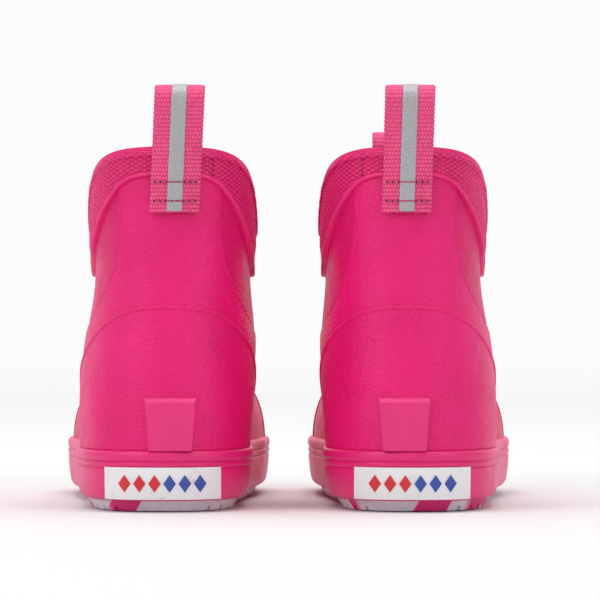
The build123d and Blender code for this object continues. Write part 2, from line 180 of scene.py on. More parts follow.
def noise(tree, coords, scale, detail=4.0, roughness=0.55, stretch=None):
    node = tree.nodes.new("ShaderNodeTexNoise")
    node.inputs["Scale"].default_value = scale
    node.inputs["Detail"].default_value = detail
    node.inputs["Roughness"].default_value = roughness
    source = coords.outputs["Object"]
    if stretch:
        mapping = tree.nodes.new("ShaderNodeMapping")
        mapping.inputs["Scale"].default_value = stretch
        tree.links.new(source, mapping.inputs["Vector"])
        source = mapping.outputs["Vector"]
    tree.links.new(source, node.inputs["Vector"])
    return node.outputs["Fac"]


def cells(tree, coords, scale, feature="F1"):
    node = tree.nodes.new("ShaderNodeTexVoronoi")
    node.feature = feature
    node.inputs["Scale"].default_value = scale
    tree.links.new(coords.outputs["Object"], node.inputs["Vector"])
    return node.outputs["Distance"]


def blend_colors(tree, factor, first, second):
    node = tree.nodes.new("ShaderNodeMix")
    node.data_type = "RGBA"
    tree.links.new(factor, node.inputs["Factor"])
    for socket, value in ((node.inputs["A"], first), (node.inputs["B"], second)):
        if isinstance(value, bpy.types.NodeSocket):
            tree.links.new(value, socket)
        else:
            socket.default_value = (*value, 1)
    return node.outputs["Result"]


def ramp(tree, source, low, high, start=0.0, end=1.0):
    node = tree.nodes.new("ShaderNodeMapRange")
    node.inputs["From Min"].default_value = low
    node.inputs["From Max"].default_value = high
    node.inputs["To Min"].default_value = start
    node.inputs["To Max"].default_value = end
    tree.links.new(source, node.inputs["Value"])
    return node.outputs["Result"]


def bump(tree, height, distance, strength=1.0, below=None):
    node = tree.nodes.new("ShaderNodeBump")
    node.inputs["Strength"].default_value = strength
    node.inputs["Distance"].default_value = distance
    tree.links.new(height, node.inputs["Height"])
    if below:
        tree.links.new(below, node.inputs["Normal"])
    return node.outputs["Normal"]


def pink_rubber(name, deep, bright, rough, grain, grain_depth, gloss=0.3, lattice=False):
    """Moulded rubber: a fine leathery grain, faint broad mottling and uneven gloss."""
    material, tree, shader, coords = new_material(name)
    mottle = ramp(tree, noise(tree, coords, 38, 3), 0.35, 0.68)
    fine = ramp(tree, noise(tree, coords, 900, 3), 0.3, 0.7)
    color = blend_colors(tree, mottle, deep, bright)
    color = blend_colors(tree, fine, color, [c * 0.93 for c in bright])
    # With a lattice, painted shade darkens the grooves between the diamonds.
    if lattice:
        color = relief_shade(tree, color, 0.0, 0.6, color, [c * 0.74 for c in deep])
    tree.links.new(color, shader.inputs["Base Color"])
    tree.links.new(ramp(tree, noise(tree, coords, 120, 4), 0.3, 0.7, rough - 0.05, rough + 0.07),
                   shader.inputs["Roughness"])
    pebble = cells(tree, coords, grain, "SMOOTH_F1")
    soft = bump(tree, noise(tree, coords, 60, 2), 0.0006, 0.25)
    tree.links.new(bump(tree, pebble, grain_depth, 0.8, soft), shader.inputs["Normal"])
    shader.inputs["Specular IOR Level"].default_value = gloss
    return material


def relief_shade(tree, source, low, high, color, shadow):
    """Paints shade into the valleys of a piece that stores its relief as an attribute."""
    depth = tree.nodes.new("ShaderNodeAttribute")
    depth.attribute_name = "relief"
    return blend_colors(tree, ramp(tree, depth.outputs["Fac"], low, high), shadow, color)


def ribbed_yarn(name, dark, light, scale=1500, ribs=False):
    material, tree, shader, coords = new_material(name)
    fibre = noise(tree, coords, scale, 4, 0.6, (1.0, 1.0, 0.35))
    color = blend_colors(tree, ramp(tree, fibre, 0.3, 0.7), dark, light)
    # With ribs, painted shade darkens the valleys between the ribs.
    if ribs:
        color = relief_shade(tree, color, 0.0, 0.75, color, [c * 0.62 for c in dark])
    tree.links.new(color, shader.inputs["Base Color"])
    shader.inputs["Roughness"].default_value = 0.6
    shader.inputs["Specular IOR Level"].default_value = 0.4
    shader.inputs["Sheen Weight"].default_value = 0.12
    shader.inputs["Sheen Roughness"].default_value = 0.5
    tree.links.new(bump(tree, fibre, 0.00012, 0.8), shader.inputs["Normal"])
    return material


def knit(name, dark, light, pitch):
    material, tree, shader, coords = new_material(name)
    wave = tree.nodes.new("ShaderNodeTexWave")
    wave.wave_type = "BANDS"
    wave.bands_direction = "DIAGONAL"
    wave.inputs["Scale"].default_value = pitch
    wave.inputs["Distortion"].default_value = 2.5
    wave.inputs["Detail"].default_value = 2
    tree.links.new(coords.outputs["Object"], wave.inputs["Vector"])
    fibre = noise(tree, coords, 1100, 4)
    mixed = blend_colors(tree, wave.outputs["Fac"], dark, light)
    fuzzy = blend_colors(tree, ramp(tree, fibre, 0.35, 0.75), mixed, light)
    tree.links.new(fuzzy, shader.inputs["Base Color"])
    shader.inputs["Roughness"].default_value = 0.9
    shader.inputs["Sheen Weight"].default_value = 0.5
    weave = bump(tree, wave.outputs["Fac"], 0.00025, 0.7)
    tree.links.new(bump(tree, fibre, 0.0001, 0.6, weave), shader.inputs["Normal"])
    return material


def arithmetic(tree, operation, first, second):
    node = tree.nodes.new("ShaderNodeMath")
    node.operation = operation
    for socket, value in zip(node.inputs, (first, second)):
        if isinstance(value, bpy.types.NodeSocket):
            tree.links.new(value, socket)
        else:
            socket.default_value = value
    return node.outputs["Value"]


def patched_sole(name):
    """Pale rubber with crisp pink patches moulded into it, and one set patch at each heel."""
    material, tree, shader, coords = new_material(name)
    shapes = noise(tree, coords, 34, 1.2, 0.4, (1.0, 0.8, 1.4))
    edge = ramp(tree, shapes, 0.575, 0.582)
    place = tree.nodes.new("ShaderNodeSeparateXYZ")
    tree.links.new(coords.outputs["Object"], place.inputs["Vector"])
    across, along, up = place.outputs["X"], place.outputs["Y"], place.outputs["Z"]
    away_from_heel = ramp(tree, along, -0.094, -0.090)
    edge = arithmetic(tree, "MULTIPLY", edge, away_from_heel)
    slanted = arithmetic(tree, "SUBTRACT", across, arithmetic(tree, "MULTIPLY", up, 0.6))
    for middle, half in ((-0.0618, 0.0057), (0.0525, 0.0062)):
        off = arithmetic(tree, "ABSOLUTE", arithmetic(tree, "SUBTRACT", slanted, middle), 0.0)
        patch = arithmetic(tree, "MULTIPLY", ramp(tree, off, half + 0.0001, half - 0.0001),
                           ramp(tree, along, -0.090, -0.094))
        edge = arithmetic(tree, "MAXIMUM", edge, patch)
    specks = ramp(tree, noise(tree, coords, 420, 3), 0.3, 0.75)
    pale = blend_colors(tree, specks, (0.68, 0.60, 0.70), (0.80, 0.74, 0.81))
    tree.links.new(blend_colors(tree, edge, pale, (0.72, 0.02, 0.20)), shader.inputs["Base Color"])
    shader.inputs["Roughness"].default_value = 0.55
    tree.links.new(bump(tree, noise(tree, coords, 700, 3), 0.0001, 0.5), shader.inputs["Normal"])
    return material


def smooth_plate(name, color, scuff):
    material, tree, shader, coords = new_material(name)
    marks = ramp(tree, noise(tree, coords, 160, 6, 0.7), 0.56, 0.75)
    tree.links.new(blend_colors(tree, marks, color, scuff), shader.inputs["Base Color"])
    tree.links.new(ramp(tree, noise(tree, coords, 90, 4), 0.3, 0.7, 0.34, 0.48), shader.inputs["Roughness"])
    tree.links.new(bump(tree, noise(tree, coords, 500, 3), 0.00006, 0.5), shader.inputs["Normal"])
    return material


def reflective_tape(name):
    """Grey glass-bead tape: tiny beads and a dull, slightly metallic face."""
    material, tree, shader, coords = new_material(name)
    beads = cells(tree, coords, 2600)
    tone = blend_colors(tree, ramp(tree, beads, 0.1, 0.6), (0.52, 0.51, 0.54), (0.34, 0.34, 0.36))
    tree.links.new(tone, shader.inputs["Base Color"])
    shader.inputs["Metallic"].default_value = 0.2
    shader.inputs["Roughness"].default_value = 0.42
    tree.links.new(bump(tree, beads, 0.00008, 0.6), shader.inputs["Normal"])
    return material


upper_rubber = pink_rubber("pink upper rubber",
                           (0.60, 0.003, 0.105), (0.74, 0.007, 0.155), 0.44, 1250, 0.00042, 0.3)
overlay_rubber = pink_rubber("pink overlay rubber",
                             (0.66, 0.004, 0.130), (0.82, 0.008, 0.180), 0.42, 1250, 0.00042, 0.3)
band_rubber = pink_rubber("pink sole band rubber",
                          (0.70, 0.010, 0.155), (0.80, 0.016, 0.190), 0.38, 2300, 0.00008, 0.45)
collar_rubber = pink_rubber("pink collar rubber",
                            (0.66, 0.006, 0.135), (0.78, 0.012, 0.175), 0.40, 2300, 0.00006, 0.4)
# The lattice rubber paints shade into the collar's grooves.
lattice_rubber = pink_rubber("pink lattice rubber", (0.74, 0.010, 0.155), (0.84, 0.018, 0.200),
                             0.40, 2300, 0.00006, 0.4, lattice=True)
tab_rubber = pink_rubber("kick tab rubber",
                         (0.72, 0.026, 0.175), (0.80, 0.034, 0.205), 0.42, 2600, 0.00006, 0.35)
# The webbing yarn paints shade into its rib valleys.
webbing_yarn = ribbed_yarn("pink webbing yarn", (0.80, 0.030, 0.180), (0.95, 0.13, 0.31), ribs=True)
tape_face = reflective_tape("reflective tape face")
thread_pink = ribbed_yarn("pink sewing thread", (0.42, 0.01, 0.09), (0.70, 0.05, 0.20), 3000)
# Near-black painted shade of needle holes.
needle_hole_shade = ribbed_yarn("needle hole shadow", (0.03, 0.002, 0.008), (0.07, 0.006, 0.02), 3000)
sole_rubber = patched_sole("patched sole rubber")
label_plate = smooth_plate("white heel plate", (0.80, 0.80, 0.82), (0.62, 0.60, 0.62))
mark_red = smooth_plate("red plate mark", (0.62, 0.02, 0.03), (0.50, 0.03, 0.04))
mark_blue = smooth_plate("blue plate mark", (0.03, 0.07, 0.36), (0.05, 0.08, 0.28))
lining_knit = knit("jersey lining", (0.30, 0.02, 0.09), (0.42, 0.05, 0.15), 900)
footbed_knit = knit("footbed cover", (0.10, 0.10, 0.11), (0.19, 0.19, 0.20), 700)
foam_core = knit("midsole foam", (0.45, 0.43, 0.45), (0.60, 0.58, 0.60), 300)
board_fibre = knit("insole board fibre", (0.42, 0.36, 0.28), (0.58, 0.50, 0.40), 400)
stiffener_rubber = smooth_plate("heel stiffener rubber", (0.04, 0.04, 0.04), (0.08, 0.08, 0.08))

# ---------------------------------------------------------------- CAD pieces that stay

kept = {
    "upper": (upper_rubber, "upper", 0.25),
    "heel_counter": (overlay_rubber, "upper", 0.45),
    "back_panel": (overlay_rubber, "upper", 0.3),
    "toe_cap": (overlay_rubber, "upper", 0.4),
    "topline_rim": (collar_rubber, "binding", 0.6),
    "kick_tab": (tab_rubber, "kick_tab", 0.6),
    "heel_label": (label_plate, "label", 0.35),
    "label_mark_red": (mark_red, "mark_red", 0.08),
    "label_mark_blue": (mark_blue, "mark_blue", 0.08),
    "outsole": (sole_rubber, "outsole", 0.3),
    "midsole": (foam_core, "midsole", 0.0),
    "insole_board": (board_fibre, "board", 0.0),
    "lining": (lining_knit, "lining", 0.0),
    "heel_stiffener": (stiffener_rubber, "stiffener", 0.0),
}
for side in sides:
    for piece, (material, slot_name, edge) in kept.items():
        obj = nodes[f"{side}_{piece}"]
        dress(obj, material)
        weld = obj.modifiers.new("weld", "WELD")
        weld.merge_threshold = 0.000002
        if edge:
            soften = obj.modifiers.new("soft edges", "BEVEL")
            soften.width = edge * mm
            soften.segments = 3
            soften.limit_method = "ANGLE"
            soften.angle_limit = math.radians(40)
            soften.harden_normals = False
        for polygon in obj.data.polygons:
            polygon.use_smooth = True
        if not edge:
            select_only(obj)
            bpy.ops.object.shade_smooth_by_angle(angle=math.radians(35))
bpy.ops.object.select_all(action="DESELECT")

# ---------------------------------------------------------------- sole band

wall_tree = tree_of("right_sidewall")
band_profile = [  # height in mm, depth in from the wall's face in mm
    (3.8, 2.7), (3.8, 1.7), (4.0, 1.1), (4.4, 0.6), (5.0, 0.25), (6.0, 0.05), (8.0, 0.0), (10.5, 0.0),
    (13.0, 0.0), (15.2, 0.02), (15.55, 0.12), (15.75, 0.5), (15.95, 0.62), (16.15, 0.5), (16.35, 0.12),
    (16.8, 0.0), (17.6, 0.0), (18.0, 0.1), (18.2, 0.45), (18.4, 0.6), (18.6, 0.45), (18.8, 0.12),
    (19.4, -0.08), (20.4, -0.15), (21.2, -0.05), (21.8, 0.2), (22.2, 0.6), (22.42, 1.1), (22.5, 1.7),
    (22.45, 2.7), (13.0, 2.7),
]


heel_inset, toe_inset = 34, 40  # mm, from each end of the sole to where its half circle starts
turn_radius = 33  # mm
toe_shift = 2.6 * mm  # the toe lies nearer the outer side


def band_columns(count):
    """Places round the sole: a point on its middle line and the way out from there."""
    heel_turn, toe_turn = wall_low.y + heel_inset * mm, wall_high.y - toe_inset * mm
    straight = toe_turn - heel_turn
    arc = math.pi * turn_radius * mm
    total = 2 * (straight + arc)
    for k in range(count):
        s = total * k / count
        if s < arc:
            turn = math.pi + math.pi * s / arc
            yield Vector((heel_x, heel_turn, 0)), Vector((math.cos(turn), math.sin(turn), 0))
        elif s < arc + straight:
            y = heel_turn + (s - arc)
            middle = heel_x + toe_shift * smooth_step(y, heel_turn, toe_turn)
            yield Vector((middle, y, 0)), Vector((1, 0, 0))
        elif s < 2 * arc + straight:
            turn = math.pi * (s - arc - straight) / arc
            way = Vector((math.cos(turn), math.sin(turn), 0))
            yield Vector((heel_x + toe_shift, toe_turn, 0)), way
        else:
            y = toe_turn - (s - 2 * arc - straight)
            middle = heel_x + toe_shift * smooth_step(y, heel_turn, toe_turn)
            yield Vector((middle, y, 0)), Vector((-1, 0, 0))


wall_bottom, wall_top = 3.95, 22.35  # mm, just inside the CAD wall's own edges


def wall_point(middle, way, z):
    z = min(max(z, wall_bottom * mm), wall_top * mm)
    start = middle + way * 0.12
    start.z = z
    hit, normal, index, distance = wall_tree.ray_cast(start, -way)
    return hit


column_count = 620
columns = list(band_columns(column_count))
face_at = {}
for height in sorted({z for z, depth in band_profile}):
    ring = [wall_point(middle, way, height * mm) for middle, way in columns]
    for k, point in enumerate(ring):
        if point is None:
            ring[k] = ring[k - 1].copy()
    smoothed = ring
    for step in range(6):
        smoothed = [(smoothed[k - 1] + smoothed[k] * 2 + smoothed[(k + 1) % column_count]) / 4
                    for k in range(column_count)]
    face_at[height] = smoothed
vertices = []
for height, depth in band_profile:
    ring = face_at[height]
    for k, point in enumerate(ring):
        along = ring[(k + 1) % column_count] - ring[k - 1]
        out = Vector((along.y, -along.x, 0)).normalized()
        vertices.append(Vector((point.x, point.y, height * mm)) - out * depth * mm)
band = add_mesh("right_sole_band", vertices, ring_faces(len(band_profile), column_count))
place_pair(band, "sole_band", band_rubber, ["sidewall"])

# ---------------------------------------------------------------- textured collar and side panels

upper_tree = tree_of("right_upper")
panel_tree = tree_of("right_collar_back", "right_collar_front", "right_gore_lateral", "right_gore_medial")
diamond_wide, diamond_high = 3.4, 1.7  # mm
collar_columns, collar_rows = 560, 120
seam_offset = 15.8  # mm, from the shaft's middle to the seams between the collar and its side panels
over_rim = 1.35  # mm, how far the texture goes on over the rim
back_depth = 0.9  # mm, the band's hidden side inside the upper's face
near_wall = 0.088  # a ray that goes further has passed over the wall it was meant for


def shaft_ray(tree, turn, z):
    way = Vector((math.cos(turn), math.sin(turn) * 1.4, 0)).normalized()
    start = Vector((shaft_x, shaft_y, 0)) + way * 0.09
    start.z = z
    return tree.ray_cast(start, -way)


turns = [2 * math.pi * (k + 0.5) / collar_columns - math.pi / 2 for k in range(collar_columns)]
lows, highs = [], []
for turn in turns:
    found = []
    for step in range(240):
        z = (76 + step * 0.25) * mm
        hit, normal, index, distance = shaft_ray(panel_tree, turn, z)
        if hit is not None and distance < near_wall:
            found.append(z)
    lows.append(min(found))
    highs.append(max(found))


def evened(values, passes):
    count = len(values)
    for step in range(passes):
        values = [(values[k - 1] + 2 * values[k] + values[(k + 1) % count]) / 4 for k in range(count)]
    return values


lows, highs = evened(lows, 8), [high + over_rim * mm for high in evened(highs, 8)]
base_rows = []
for r in range(collar_rows):
    t = r / (collar_rows - 1)
    row = []
    for k, turn in enumerate(turns):
        z = lows[k] + (highs[k] - lows[k]) * t
        hit, lower = None, z
        while hit is None or distance > near_wall:
            hit, normal, index, distance = shaft_ray(upper_tree, turn, lower)
            lower -= 0.3 * mm
        row.append(Vector((hit.x, hit.y, z)))
    base_rows.append(row)
around = [0.0]
for k in range(1, collar_columns):
    a, b = base_rows[collar_rows // 2][k - 1], base_rows[collar_rows // 2][k]
    around.append(around[-1] + math.hypot(a.x - b.x, a.y - b.y) / mm)


def diamond_height(across, up):
    """A lattice of raised diamonds with fine grooves between them; mm."""
    a = across / diamond_wide + up / diamond_high
    b = across / diamond_wide - up / diamond_high
    edge = min(abs(a - round(a)), abs(b - round(b)))
    return 0.5 * smooth_step(edge, 0.03, 0.24) + 0.08 * smooth_step(edge, 0.2, 0.5)


vertices, relief = [], []
for r in range(collar_rows):
    for k in range(collar_columns):
        point = base_rows[r][k]
        beside = base_rows[r][(k + 1) % collar_columns] - base_rows[r][k - 1]
        out = Vector((beside.y, -beside.x, 0)).normalized()
        slope = (lows[(k + 1) % collar_columns] - lows[k - 1]) / max(1e-6, beside.length)
        from_low = (point.z - lows[k]) / mm / math.sqrt(1 + slope * slope)
        from_high = (highs[k] - point.z) / mm
        z_mm = point.z / mm
        diamond = diamond_height(around[k], z_mm)
        height = 1.1 + diamond
        if from_high < 1.9:
            height = max(height, 1.98 + 0.7 * diamond)
        plain = from_low < 1.7 or from_high < 0.35
        if from_low < 1.95:
            bead = 1.15 + 0.7 * math.sqrt(max(0.0, 1 - ((from_low - 0.85) / 0.85) ** 2))
            height = bead if from_low < 1.7 else 1.1
            if from_low < 0.2:
                height = 0.15 + 5.0 * from_low
        elif from_high < 0.35:
            height = 2.05 if from_high > 0.1 else 1.6
        seam = abs(abs(point.x - shaft_x) / mm - seam_offset)
        height -= 0.5 * (1 - smooth_step(seam, 0.1, 0.45))
        vertices.append(point + out * height * mm)
        # The relief value sets where the lattice rubber paints shade into the grooves.
        relief.append(1.0 if plain else diamond / 0.55)
for edge_row in (collar_rows - 1, 0):
    for k in range(collar_columns):
        point = base_rows[edge_row][k]
        beside = base_rows[edge_row][(k + 1) % collar_columns] - base_rows[edge_row][k - 1]
        out = Vector((beside.y, -beside.x, 0)).normalized()
        vertices.append(point - out * back_depth * mm)
        relief.append(1.0)
collar = add_mesh("right_textured_collar", vertices, ring_faces(collar_rows + 2, collar_columns), relief)
place_pair(collar, "textured_collar", lattice_rubber,
           ["collar_back", "collar_front", "gore_lateral", "gore_medial"])

# ---------------------------------------------------------------- rolled edges of the overlays

def rolled_edge(name, line, radius, sunk):
    """A thin rounded edge along a line of (place, way out), part of it sunk in the surface."""
    turns_round = 10
    vertices = []
    for k, (place, out) in enumerate(line):
        ahead = (line[min(k + 1, len(line) - 1)][0] - line[max(k - 1, 0)][0]).normalized()
        across = ahead.cross(out).normalized()
        taper = min(1.0, 0.25 + min(k, len(line) - 1 - k) / 12)
        for n in range(turns_round):
            turn = 2 * math.pi * n / turns_round
            swell = radius * taper * mm
            vertices.append(place + out * (swell * math.sin(turn) - sunk * mm)
                            + across * swell * 1.5 * math.cos(turn))
    faces = ring_faces(len(line), turns_round, closed_rows=False)
    last = (len(line) - 1) * turns_round
    faces += [tuple(range(turns_round))[::-1], tuple(last + n for n in range(turns_round))]
    return add_mesh(name, vertices, faces)


def evened_line(line, passes):
    for step in range(passes):
        inner = [((a[0] + b[0] * 2 + c[0]) / 4, b[1]) for a, b, c in zip(line, line[1:], line[2:])]
        line = [line[0]] + inner + [line[-1]]
    return line


counter_tree = tree_of("right_heel_counter")
back_tree = tree_of("right_back_panel")
arch = []
arch_centre = Vector((heel_x, wall_low.y + 62 * mm, 0))
for k in range(181):
    turn = math.pi * (1 + k / 180)
    way = Vector((math.cos(turn), math.sin(turn), 0))
    for step in range(260):
        start = arch_centre + way * 0.1
        start.z = (78 - step * 0.22) * mm
        hit, normal, index, distance = counter_tree.ray_cast(start, -way, 0.1)
        if hit is not None:
            flat = Vector((normal.x, normal.y, 0)).normalized()
            arch.append((hit, flat if flat.dot(way) > 0 else way))
            break
arch = evened_line(arch, 5)
panel_edges = []
for turn_sign in (-1, 1):
    line = []
    for step in range(110):
        z = (121 - step * 0.5) * mm
        for sweep in range(200):
            turn = -math.pi / 2 + turn_sign * (1.45 - sweep * 0.0072)
            hit, normal, index, distance = shaft_ray(back_tree, turn, z)
            if hit is not None and distance < near_wall:
                flat = Vector((normal.x, normal.y, 0)).normalized()
                from_middle = hit - Vector((shaft_x, shaft_y, z))
                line.append((hit, flat if flat.dot(from_middle) > 0 else -flat))
                break
        else:
            break
    panel_edges.append(evened_line(line, 4))
edge_pieces = (  # name, line, radius and how far it is sunk, in mm
    ("counter_edge", arch, 0.55, 0.12),
    ("back_panel_edge_inner", panel_edges[0], 0.24, 0.06),
    ("back_panel_edge_outer", panel_edges[1], 0.24, 0.06),
)
for name, line, radius, sunk in edge_pieces:
    place_pair(rolled_edge(f"right_{name}", line, radius, sunk), name, overlay_rubber)

# ---------------------------------------------------------------- webbing pull loops

rib_pitch, yarn_pitch = 1.5, 1.16  # mm
web_half, web_thick = 9.25, 1.5
loop_details = {  # the way out of the boot there, and the CAD nodes that the strap stands for
    "rear": (-1, "rear_loop", "rear_loop_tails", "rear_loop_tape"),
    "front": (1, "front_loop", "front_loop_tails", "front_loop_tape"),
}


def smooth_path(points, step):
    """Even steps along a smooth line through the points (y, z in mm)."""
    fine = []
    padded = [points[0], *points, points[-1]]
    for a, b, c, d in zip(padded, padded[1:], padded[2:], padded[3:]):
        for k in range(24):
            t = k / 24
            fine.append(tuple(
                0.5 * (2 * b[i] + (c[i] - a[i]) * t + (2 * a[i] - 5 * b[i] + 4 * c[i] - d[i]) * t * t
                       + (3 * b[i] - a[i] - 3 * c[i] + d[i]) * t ** 3) for i in (0, 1)))
    fine.append(points[-1])
    lengths = [0.0]
    for a, b in zip(fine, fine[1:]):
        lengths.append(lengths[-1] + math.dist(a, b))
    count = int(lengths[-1] / step)
    at = np.linspace(0, lengths[-1], count)
    ys, zs = zip(*fine)
    return [(float(np.interp(s, lengths, ys)), float(np.interp(s, lengths, zs))) for s in at], at


def wall_y(x, z, outward_sign):
    """The upper's outer face at the loop, cast from outside."""
    hit = None
    while hit is None:
        start = Vector((x, shaft_y + outward_sign * 0.12, z))
        hit, normal, index, distance = upper_tree.ray_cast(start, Vector((0, -outward_sign, 0)))
        z -= 0.3 * mm
    return hit.y


loops = {}  # keyed by boot and loop, all drawn as for the right boot
strap_lean = {"right": 0.7, "left": -0.95}  # mm, how far the top leans over
for side in sides:
    for which, (sign, loop_node, tails_node, tape_node) in loop_details.items():
        loop_low, loop_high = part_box(f"{side}_{loop_node}")
        tail_low, tail_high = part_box(f"{side}_{tails_node}")
        middle_x = abs(loop_low.x + loop_high.x) / 2
        axis_y = (loop_low.y + loop_high.y) / 2 / mm
        leg_start, top = loop_low.z / mm, loop_high.z / mm
        belly = (loop_high.y - loop_low.y) / 2 / mm - web_thick / 2
        tail_bottom, tail_top = tail_low.z / mm + 0.2, tail_high.z / mm
        shoulder = top - web_thick / 2 - belly
        reach_out, reach_in = 2.75, -5.15  # mm from the upper's outer face to the webbing's middle
        points = []
        for k in range(9):
            z = tail_bottom + (tail_top - 1 - tail_bottom) * k / 8
            wall = wall_y(middle_x, min(z, tail_top - 1.5) * mm, sign) / mm
            points.append((wall + sign * reach_out, z))
        leg = 3.9
        points += [(axis_y + sign * leg, leg_start), (axis_y + sign * (leg + 0.4), leg_start + 5),
                   (axis_y + sign * (belly - 0.25), shoulder - 4)]
        for k in range(13):
            turn = math.pi * k / 12
            points.append((axis_y + sign * belly * math.cos(turn), shoulder + belly * math.sin(turn)))
        points += [(axis_y - sign * (belly - 0.25), shoulder - 4),
                   (axis_y - sign * (leg + 0.4), leg_start + 5), (axis_y - sign * leg, leg_start)]
        for k in range(9):
            z = tail_top - 1 + (tail_bottom - tail_top + 1) * k / 8
            wall = wall_y(middle_x, min(z, tail_top - 1.5) * mm, sign) / mm
            points.append((wall + sign * reach_in, z))
        path, at = smooth_path(points, 0.25)
        lean = strap_lean[side] if which == "rear" else 0.0
        loops[side, which] = (sign, middle_x, path, at, tail_top, tail_bottom, axis_y, lean)


def lean_at(z, tail_bottom, lean):
    """Sideways shift of the strap at a height, in mm: none in the middle of its length."""
    return lean * ((z - tail_bottom) / 22 - 1)


def strap_rows(side, which, half_width, columns, thickness, lift, relief, first=0, last=None):
    """Rows of points round a strap's section, all along a loop's path."""
    sign, middle_x, path, at, tail_top, tail_bottom, axis_y, lean = loops[side, which]
    last = len(path) if last is None else len(path) + last
    rows = []
    sag = {}
    for i in range(columns + 1):
        x = middle_x + half_width * (2 * i / columns - 1) * mm
        sag[i] = (wall_y(x, (tail_top - 8) * mm, sign) - wall_y(middle_x, (tail_top - 8) * mm, sign))
    for j in range(first, last):
        y, z = path[j]
        before, after = path[max(0, j - 1)], path[min(len(path) - 1, j + 1)]
        along = Vector((0, after[0] - before[0], after[1] - before[1])).normalized()
        out = Vector((0, along.z * sign, -along.y * sign))
        curved = 1 - smooth_step(z, tail_top - 1, tail_top + 7)
        row = []
        for face in (1, -1):
            order = range(columns + 1) if face == 1 else range(columns, -1, -1)
            for i in order:
                share = 2 * i / columns - 1
                scallop = relief(share * half_width, at[j], True)
                x = middle_x + (share * (half_width + scallop) + lean_at(z, tail_bottom, lean)) * mm
                bumps = relief(share * half_width, at[j], False)
                height = thickness / 2 + bumps
                edge = 1 - 0.55 * smooth_step(abs(share), 1 - 0.5 / half_width * 1.4, 1.0)
                point = Vector((x, y * mm, z * mm)) + out * (lift + face * height * edge) * mm
                point.y += sag[i] * curved
                # The second value is the relief that the webbing's material reads to paint shade in the rib
                # valleys.
                row.append((point, 1 + bumps / 0.34))
        rows.append(row)
    return rows


def webbing_relief(across, along, edge):
    rib = abs(math.sin(math.pi * along / rib_pitch)) ** 0.7
    if edge:
        return -0.42 + 0.42 * rib
    odd = int(along / rib_pitch) % 2
    yarn = math.cos(2 * math.pi * across / yarn_pitch + odd * math.pi)
    return -0.34 + 0.24 * rib + 0.15 * yarn * rib


def tape_relief(across, along, edge):
    if edge:
        return 0.0
    return 0.03 * abs(math.sin(math.pi * along / rib_pitch)) - 0.02


def closed_strap(name, rows):
    count = len(rows[0])
    vertices = [point for row in rows for point, height in row]
    relief = [height for row in rows for point, height in row]
    faces = ring_faces(len(rows), count, closed_rows=False)
    half = count // 2
    for start, flip in ((0, False), ((len(rows) - 1) * count, True)):
        for i in range(half - 1):
            quad = (start + i, start + i + 1, start + count - 2 - i, start + count - 1 - i)
            faces.append(quad[::-1] if flip else quad)
    return add_mesh(name, vertices, faces, relief)


def place_loop_piece(side, which, name, rows, material, covered):
    sign, middle_x, path, at, tail_top, tail_bottom, axis_y, lean = loops[side, which]
    piece = closed_strap(f"{side}_{which}_{name}", rows)
    if side == "left":
        for vertex in piece.data.vertices:
            vertex.co.x = -vertex.co.x
        piece.data.flip_normals()
    dress(piece, material)
    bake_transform(piece)
    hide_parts(*[f"{side}_{n}" for n in covered])


for side, which in loops:
    sign, loop_node, tails_node, tape_node = loop_details[which]
    rows = strap_rows(side, which, web_half, 72, web_thick, 0.0, webbing_relief)
    place_loop_piece(side, which, "pull_webbing", rows, webbing_yarn, [loop_node, tails_node])
    rows = strap_rows(side, which, 2.85, 10, 0.34, web_thick / 2 + 0.03, tape_relief, 2, -2)
    place_loop_piece(side, which, "pull_tape", rows, tape_face, [tape_node, "tail_tapes"])

# The sewn rows: pink thread lying between near-black balls that paint the shade in the needle holes.
stitch_rows_below_top = (11.3, 18.3)  # mm below the tails' top
holes_in_row, stitch_pitch = 8, 2.14  # mm
hole_radius, thread_radius = 0.46, 0.34
hole_proud, thread_proud = 3.55, 3.65  # from the upper's outer face
for side in sides:
    mirror_sign = side_sign[side]
    threads, holes = [], []
    for which in loop_details:
        sign, middle_x, path, at, tail_top, tail_bottom, axis_y, lean = loops[side, which]
        for drop in stitch_rows_below_top:
            z = (tail_top - drop) * mm
            for k in range(holes_in_row):
                across = (k - (holes_in_row - 1) / 2) * stitch_pitch
                x = middle_x + (across + lean_at(z / mm, tail_bottom, lean)) * mm
                y = wall_y(x, z, sign) + sign * hole_proud * mm
                holes.append(ball((mirror_sign * x, y, z), hole_radius, (1.0, 0.5, 0.85)))
                if k < holes_in_row - 1:
                    x += stitch_pitch / 2 * mm
                    y = wall_y(x, z, sign) + sign * thread_proud * mm
                    threads.append(ball((mirror_sign * x, y, z), thread_radius, (2.6, 1.0, 1.0), 14))
    for group, name, material in ((threads, "loop_stitches", thread_pink),
                                  (holes, "loop_needle_hole_shade", needle_hole_shade)):
        piece = joined(group, f"{side}_{name}")
        dress(piece, material)
        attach(piece, f"{side}_boot")
        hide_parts(f"{side}_loop_stitching")

# The bar of stitches down the collar's seam.
bar_stitches, bar_pitch, bar_drop, bar_proud = 4, 1.85, 5.0, 1.85  # mm; the drop is from the rim's top
for side in sides:
    mirror_sign = side_sign[side]
    bars = []
    for k in range(bar_stitches):
        z = rim_high.z - (bar_drop + bar_pitch * k) * mm
        x = shaft_x - seam_offset * mm
        y = wall_y(x, z, -1) - bar_proud * mm
        bars.append(ball((mirror_sign * x, y, z), 0.32, (2.0, 1.0, 1.1),
                         rotation=(0, math.radians(8 * mirror_sign), 0)))
    bar = joined(bars, f"{side}_collar_stitches")
    # The stitches wear the near-black painted needle-hole shade.
    dress(bar, needle_hole_shade)
    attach(bar, f"{side}_boot")
    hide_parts(f"{side}_collar_stitching")

# ---------------------------------------------------------------- footbed

